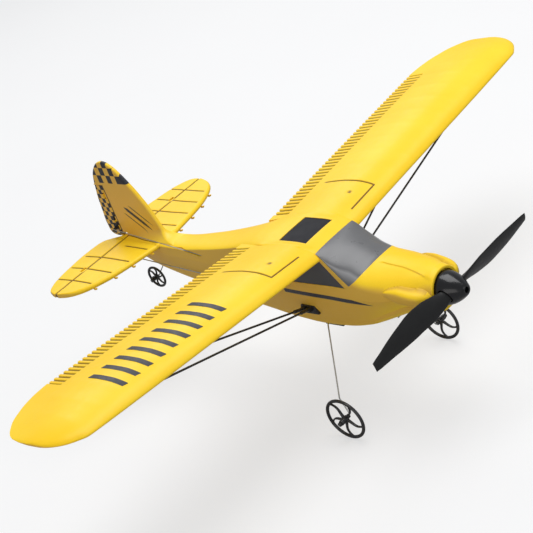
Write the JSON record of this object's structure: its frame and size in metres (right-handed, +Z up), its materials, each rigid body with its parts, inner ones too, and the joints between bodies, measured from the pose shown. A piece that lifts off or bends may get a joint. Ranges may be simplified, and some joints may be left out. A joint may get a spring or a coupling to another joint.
{
  "type": "radio-controlled foam aeroplane",
  "caption": "High-wing radio-controlled foam aeroplane with working elevator, rudder, geared propeller, wheels and battery hatch.",
  "frame": {"origin": "centre of the landing gear plate's lower face, on the centreline", "axes": "+X forward to the nose, +Y to port (left wing), +Z up"},
  "size_m": [0.4201, 0.616, 0.211],
  "materials": {
    "foam_yellow": "satin",
    "film_grey": "gloss",
    "film_dark": "gloss",
    "carbon": "satin",
    "steel": "satin",
    "black_plastic": "satin",
    "black_gloss": "gloss",
    "white_plastic": "satin",
    "board_green": "satin",
    "cell_wrap": "gloss",
    "lead_red": "satin",
    "strap_fabric": "matte",
    "plywood": "satin",
    "brass": "satin"
  },
  "bodies": {
    "airframe": {"fuselage_left": "foam_yellow", "fuselage_right": "foam_yellow", "cabin_roof": "foam_yellow", "windshield": "film_grey", "side_windows": "film_dark", "skylight": "film_dark", "wing_left": "foam_yellow", "wing_right": "foam_yellow", "wing_spar": "carbon", "stabilizer": "foam_yellow", "fin": "foam_yellow", "elevator_hinge_pins": "steel", "rudder_hinge_pins": "steel", "elevator_servo": "black_plastic", "rudder_servo": "black_plastic", "servo_arm_screws": "steel", "servo_tray": "plywood", "receiver_board": "board_green", "battery": "cell_wrap", "battery_strap": "strap_fabric", "battery_lead": "lead_red", "hatch_hinge_pin": "steel", "motor": "steel", "gearbox_frame": "black_plastic", "shaft_bushes": "brass", "gear_plate": "black_plastic", "gear_screws": "steel", "main_gear_wire": "steel", "wheel_collars": "black_plastic", "tail_gear_wire": "steel", "tail_collar": "black_plastic", "strut_brackets": "black_plastic", "strut_rods": "black_plastic", "strut_sockets": "black_plastic"},
    "elevator": {"elevator": "foam_yellow", "elevator_horn": "black_plastic"},
    "rudder": {"rudder": "foam_yellow", "rudder_horn": "black_plastic"},
    "elevator_rod": {"elevator_pushrod": "black_plastic"},
    "rudder_rod": {"rudder_pushrod": "black_plastic"},
    "elevator_arm": {"elevator_servo_arm": "white_plastic"},
    "rudder_arm": {"rudder_servo_arm": "white_plastic"},
    "propeller": {"prop_shaft": "steel", "spur_gear": "white_plastic", "propeller": "black_plastic", "spinner": "black_gloss", "spinner_screw": "steel"},
    "rotor": {"motor_pinion": "brass"},
    "left_wheel": {"wheel_left": "black_plastic"},
    "right_wheel": {"wheel_right": "black_plastic"},
    "tail_wheel": {"tail_wheel": "black_plastic"},
    "hatch": {"battery_hatch": "foam_yellow"}
  },
  "joints": [
    {"name": "propeller_spin", "type": "hinge", "parent": "airframe", "child": "propeller", "pos_m": [0.117, 0, 0.0451], "axis": [1, 0, 0], "continuous": true},
    {"name": "motor_spin", "type": "hinge", "parent": "airframe", "child": "rotor", "pos_m": [0.087, 0, 0.0343], "axis": [1, 0, 0], "continuous": true},
    {"name": "elevator_hinge", "type": "hinge", "parent": "airframe", "child": "elevator", "pos_m": [-0.2485, 0, 0.0596], "axis": [0, 1, 0], "range_deg": [-22, 22]},
    {"name": "elevator_rod_pivot", "type": "hinge", "parent": "elevator", "child": "elevator_rod", "pos_m": [-0.2485, -0.0142, 0.0471], "axis": [0, 1, 0], "range_deg": [-24, 24]},
    {"name": "elevator_servo_turn", "type": "hinge", "parent": "airframe", "child": "elevator_arm", "pos_m": [-0.028, 0, 0.03821], "axis": [0, 1, 0], "range_deg": [-24, 24]},
    {"name": "rudder_hinge", "type": "hinge", "parent": "airframe", "child": "rudder", "pos_m": [-0.256, 0, 0.0746], "axis": [0, 0, 1], "range_deg": [-25, 25]},
    {"name": "rudder_rod_pivot", "type": "hinge", "parent": "rudder", "child": "rudder_rod", "pos_m": [-0.256, -0.0095, 0.0706], "axis": [0, 0, 1], "range_deg": [-27, 27]},
    {"name": "rudder_servo_turn", "type": "hinge", "parent": "airframe", "child": "rudder_arm", "pos_m": [-0.061, -0.00683, 0.0746], "axis": [0, 0, 1], "range_deg": [-27, 27]},
    {"name": "left_wheel_spin", "type": "hinge", "parent": "airframe", "child": "left_wheel", "pos_m": [0.0364, 0.0704, -0.0492], "axis": [0, 1, 0], "continuous": true},
    {"name": "right_wheel_spin", "type": "hinge", "parent": "airframe", "child": "right_wheel", "pos_m": [0.0364, -0.0704, -0.0492], "axis": [0, 1, 0], "continuous": true},
    {"name": "tail_wheel_spin", "type": "hinge", "parent": "airframe", "child": "tail_wheel", "pos_m": [-0.235, 0, 0.0136], "axis": [0, 1, 0], "continuous": true},
    {"name": "hatch_hinge", "type": "hinge", "parent": "airframe", "child": "hatch", "pos_m": [0.0778, 0, 0.0197], "axis": [0, -1, 0], "range_deg": [0, 75]}
  ],
  "couplings": [
    {"joint": "motor_spin", "follows": "propeller_spin", "ratio": -5},
    {"joint": "elevator_rod_pivot", "follows": "elevator_hinge", "ratio": -1},
    {"joint": "elevator_servo_turn", "follows": "elevator_hinge", "ratio": 1},
    {"joint": "rudder_rod_pivot", "follows": "rudder_hinge", "ratio": -1},
    {"joint": "rudder_servo_turn", "follows": "rudder_hinge", "ratio": 1}
  ]
}
